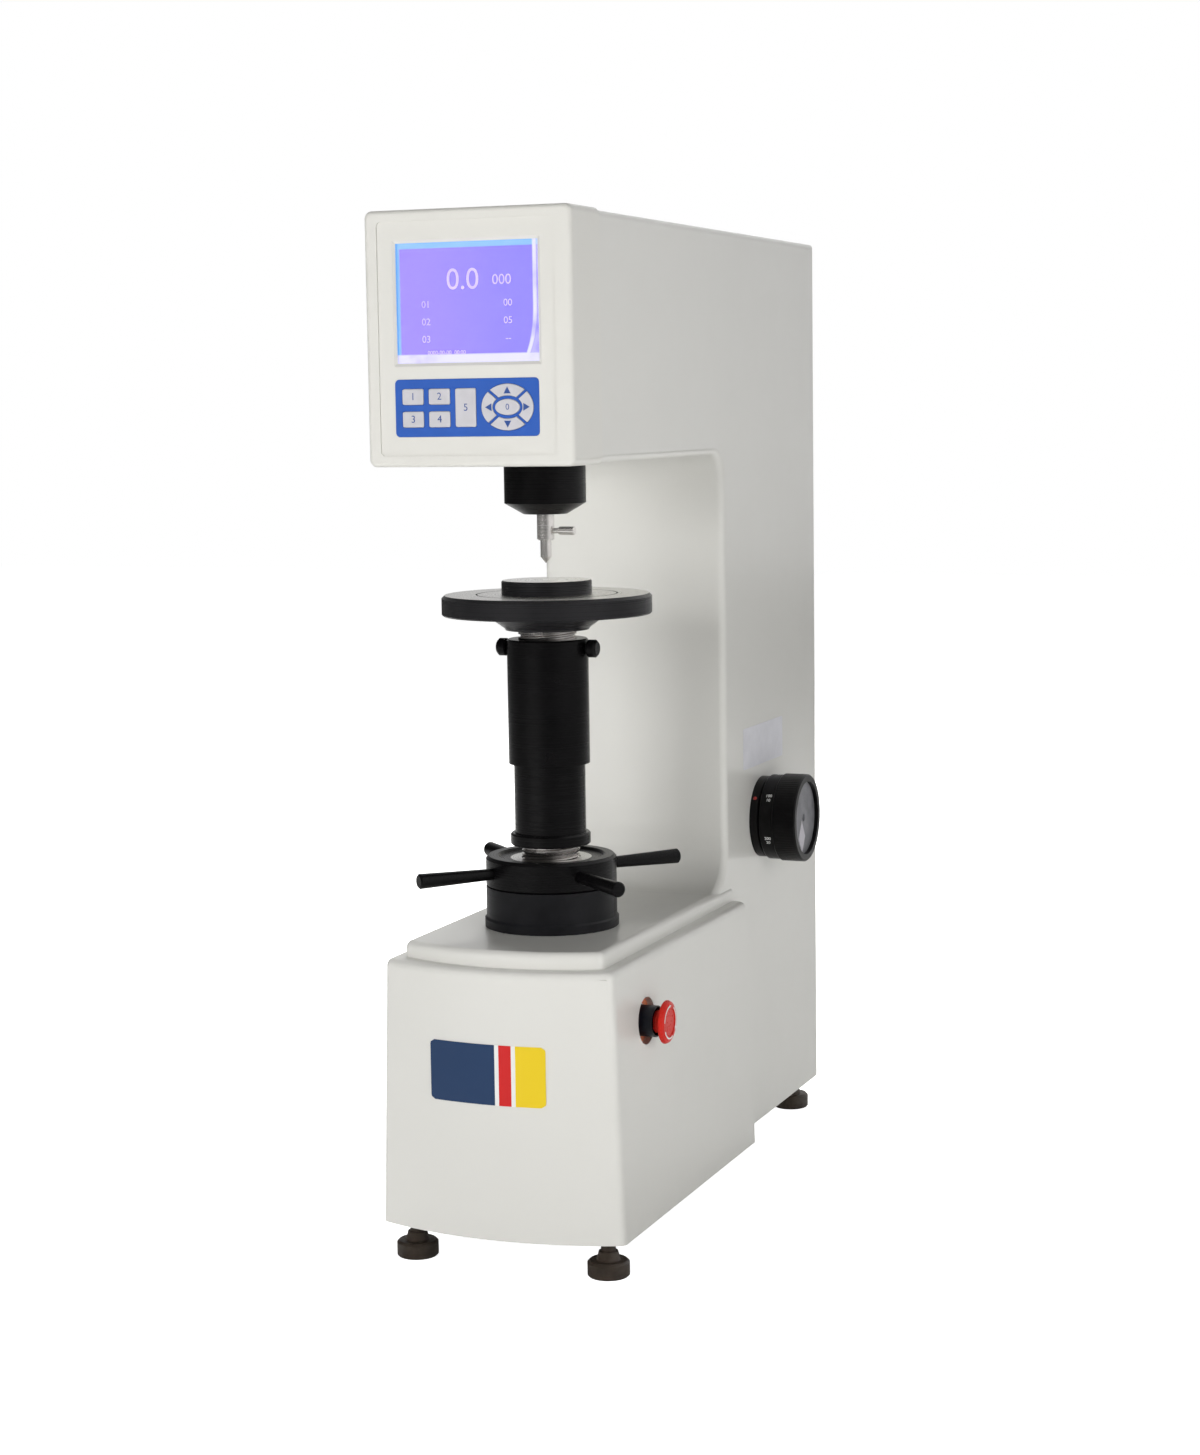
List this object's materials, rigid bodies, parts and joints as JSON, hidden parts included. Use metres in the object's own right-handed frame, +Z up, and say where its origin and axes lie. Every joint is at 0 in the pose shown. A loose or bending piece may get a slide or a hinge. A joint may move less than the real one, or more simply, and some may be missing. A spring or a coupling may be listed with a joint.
{
  "type": "hardness tester",
  "caption": "Bench plastics hardness tester: C-shaped cast frame, digital head, lever-loaded spindle, hand-raised test table, force dial and stop button.",
  "frame": {"origin": "centre of the machine's overall footprint, on the bench under its feet", "axes": "+Z up, -Y towards the operator, +X towards the side with the force dial and the stop button"},
  "size_m": [0.195, 0.5199, 0.7002],
  "materials": {
    "cream_paint": "semi-gloss cream-white paint with a fine orange peel on cast iron",
    "bezel_paint": "smooth semi-gloss cream-white paint",
    "zinc_steel": "zinc-plated screws",
    "clear_pane": "clear window over the display",
    "display": "backlit violet-blue display",
    "circuit_board": "green solder mask",
    "keypad_blue": "blue printed keypad",
    "key_grey": "light grey keys",
    "black_satin": "satin black oxide",
    "black_oxide": "black oxide on turned steel",
    "ground_steel": "ground steel",
    "bronze": "bearing bronze",
    "grey_metal": "grey machine enamel",
    "cast_weight": "painted cast-iron weights",
    "grey_face": "grey anodised face",
    "red_plastic": "red moulded plastic",
    "black_plastic": "black moulded plastic",
    "foot_iron": "dark brown-black oxidised foot"
  },
  "bodies": {
    "frame": {"frame_casting": "cream_paint", "top_cover": "cream_paint", "rear_cover": "cream_paint", "cover_screws": "zinc_steel", "head_bezel": "bezel_paint", "display_pane": "clear_pane", "display_module": "display", "main_board": "circuit_board", "keypad_overlay": "keypad_blue", "nose_cover": "black_satin", "spindle_guide": "bronze", "depth_sensor": "grey_metal", "pivot_bracket": "grey_metal", "pivot_pin": "ground_steel", "load_motor": "grey_metal", "selector_index_ring": "black_satin", "thrust_bearing": "ground_steel", "bearing_housing": "black_satin", "screw_guide_key": "ground_steel", "stop_barrel": "black_plastic", "power_inlet": "black_plastic"},
    "spindle": {"spindle": "ground_steel", "indenter": "ground_steel"},
    "indenter_screw": {"indenter_screw": "ground_steel"},
    "lever": {"main_lever": "grey_metal"},
    "hanger": {"weight_hanger": "ground_steel", "weight_lower": "cast_weight", "weight_middle": "cast_weight", "weight_upper": "cast_weight"},
    "load_cam": {"load_cam": "ground_steel"},
    "selector": {"selector_dial": "black_satin", "selector_cap": "grey_face", "selector_shaft": "ground_steel"},
    "handwheel": {"handwheel": "black_satin", "handwheel_rods": "black_satin", "elevating_nut": "black_oxide"},
    "elevating": {"elevating_screw": "ground_steel", "upper_sleeve": "black_satin", "test_table": "black_oxide", "flat_anvil": "black_oxide"},
    "sleeve_screw_right": {"sleeve_screw_right": "black_satin"},
    "sleeve_screw_left": {"sleeve_screw_left": "black_satin"},
    "lower_sleeve": {"lower_sleeve": "black_satin"},
    "stop_stem": {"stop_stem": "black_plastic"},
    "stop_head": {"stop_head": "red_plastic"},
    "rocker": {"power_rocker": "black_plastic"},
    "key_lower_left": {"key_lower_left": "key_grey"},
    "key_lower_right": {"key_lower_right": "key_grey"},
    "key_upper_left": {"key_upper_left": "key_grey"},
    "key_upper_right": {"key_upper_right": "key_grey"},
    "key_tall": {"key_tall": "key_grey"},
    "arrow_key_right": {"arrow_key_right": "key_grey"},
    "arrow_key_up": {"arrow_key_up": "key_grey"},
    "arrow_key_left": {"arrow_key_left": "key_grey"},
    "arrow_key_down": {"arrow_key_down": "key_grey"},
    "key_centre": {"key_centre": "key_grey"},
    "foot_front_left": {"foot_front_left": "foot_iron"},
    "foot_front_right": {"foot_front_right": "foot_iron"},
    "foot_rear_left": {"foot_rear_left": "foot_iron"},
    "foot_rear_right": {"foot_rear_right": "foot_iron"}
  },
  "joints": [
    {"name": "hanger_slide", "type": "slide", "parent": "frame", "child": "hanger", "axis": [0, 0, 1], "range_m": [0, 0.03]},
    {"name": "lever_pivot", "type": "hinge", "parent": "frame", "child": "lever", "pos_m": [-0.0095, -0.14875, 0.6293], "axis": [1, 0, 0], "range_deg": [0, 5.29]},
    {"name": "spindle_slide", "type": "slide", "parent": "frame", "child": "spindle", "axis": [0, 0, 1], "range_m": [0, 0.0012]},
    {"name": "indenter_screw_turn", "type": "hinge", "parent": "spindle", "child": "indenter_screw", "pos_m": [-0.0036, -0.13575, 0.4905], "axis": [1, 0, 0], "range_deg": [0, 720]},
    {"name": "load_cam_turn", "type": "hinge", "parent": "frame", "child": "load_cam", "pos_m": [-0.0095, 0.17625, 0.071], "axis": [1, 0, 0], "continuous": true},
    {"name": "force_dial_turn", "type": "hinge", "parent": "frame", "child": "selector", "pos_m": [0.0612, 0.11425, 0.261], "axis": [1, 0, 0], "range_deg": [0, 240]},
    {"name": "handwheel_turn", "type": "hinge", "parent": "frame", "child": "handwheel", "pos_m": [-0.0095, -0.13575, 0.25765], "axis": [0, 0, 1], "range_deg": [-660, 2460]},
    {"name": "elevating_slide", "type": "slide", "parent": "frame", "child": "elevating", "axis": [0, 0, 1], "range_m": [-0.041, 0.011]},
    {"name": "sleeve_screw_right_turn", "type": "hinge", "parent": "elevating", "child": "sleeve_screw_right", "pos_m": [0.0184, -0.13575, 0.4106], "axis": [1, 0, 0], "range_deg": [0, 720]},
    {"name": "sleeve_screw_left_turn", "type": "hinge", "parent": "elevating", "child": "sleeve_screw_left", "pos_m": [-0.0374, -0.13575, 0.4106], "axis": [-1, 0, 0], "range_deg": [0, 720]},
    {"name": "lower_sleeve_slide", "type": "slide", "parent": "frame", "child": "lower_sleeve", "axis": [0, 0, 1], "range_m": [-0.0068, 0.006]},
    {"name": "stop_press", "type": "slide", "parent": "frame", "child": "stop_stem", "axis": [-1, 0, 0], "range_m": [0, 0.004]},
    {"name": "stop_twist", "type": "hinge", "parent": "stop_stem", "child": "stop_head", "pos_m": [0.08153, -0.17375, 0.1645], "axis": [1, 0, 0], "range_deg": [-45, 0], "stiffness_Nm_per_rad": 0.05},
    {"name": "power_rocker_tilt", "type": "hinge", "parent": "frame", "child": "rocker", "pos_m": [0.0055, 0.25825, 0.112], "axis": [1, 0, 0], "range_deg": [0, 18]},
    {"name": "key_lower_left_press", "type": "slide", "parent": "frame", "child": "key_lower_left", "axis": [0, 1, 0], "range_m": [0, 0.00035], "stiffness_N_per_m": 3000},
    {"name": "key_lower_right_press", "type": "slide", "parent": "frame", "child": "key_lower_right", "axis": [0, 1, 0], "range_m": [0, 0.00035], "stiffness_N_per_m": 3000},
    {"name": "key_upper_left_press", "type": "slide", "parent": "frame", "child": "key_upper_left", "axis": [0, 1, 0], "range_m": [0, 0.00035], "stiffness_N_per_m": 3000},
    {"name": "key_upper_right_press", "type": "slide", "parent": "frame", "child": "key_upper_right", "axis": [0, 1, 0], "range_m": [0, 0.00035], "stiffness_N_per_m": 3000},
    {"name": "key_tall_press", "type": "slide", "parent": "frame", "child": "key_tall", "axis": [0, 1, 0], "range_m": [0, 0.00035], "stiffness_N_per_m": 3000},
    {"name": "arrow_key_right_press", "type": "slide", "parent": "frame", "child": "arrow_key_right", "axis": [0, 1, 0], "range_m": [0, 0.00035], "stiffness_N_per_m": 3000},
    {"name": "arrow_key_up_press", "type": "slide", "parent": "frame", "child": "arrow_key_up", "axis": [0, 1, 0], "range_m": [0, 0.00035], "stiffness_N_per_m": 3000},
    {"name": "arrow_key_left_press", "type": "slide", "parent": "frame", "child": "arrow_key_left", "axis": [0, 1, 0], "range_m": [0, 0.00035], "stiffness_N_per_m": 3000},
    {"name": "arrow_key_down_press", "type": "slide", "parent": "frame", "child": "arrow_key_down", "axis": [0, 1, 0], "range_m": [0, 0.00035], "stiffness_N_per_m": 3000},
    {"name": "key_centre_press", "type": "slide", "parent": "frame", "child": "key_centre", "axis": [0, 1, 0], "range_m": [0, 0.00035], "stiffness_N_per_m": 3000},
    {"name": "foot_front_left_turn", "type": "hinge", "parent": "frame", "child": "foot_front_left", "pos_m": [-0.0795, -0.21575, 0.026], "axis": [0, 0, 1], "range_deg": [-720, 720]},
    {"name": "foot_front_right_turn", "type": "hinge", "parent": "frame", "child": "foot_front_right", "pos_m": [0.0605, -0.21575, 0.026], "axis": [0, 0, 1], "range_deg": [-720, 720]},
    {"name": "foot_rear_left_turn", "type": "hinge", "parent": "frame", "child": "foot_rear_left", "pos_m": [-0.0595, 0.24625, 0.026], "axis": [0, 0, 1], "range_deg": [-720, 720]},
    {"name": "foot_rear_right_turn", "type": "hinge", "parent": "frame", "child": "foot_rear_right", "pos_m": [0.0405, 0.24625, 0.026], "axis": [0, 0, 1], "range_deg": [-720, 720]}
  ],
  "couplings": [
    {"joint": "lever_pivot", "follows": "hanger_slide", "rad_per_m": 3.0769},
    {"joint": "spindle_slide", "follows": "hanger_slide", "ratio": 0.04},
    {"joint": "elevating_slide", "follows": "handwheel_turn", "m_per_rad": -0.00095493}
  ]
}
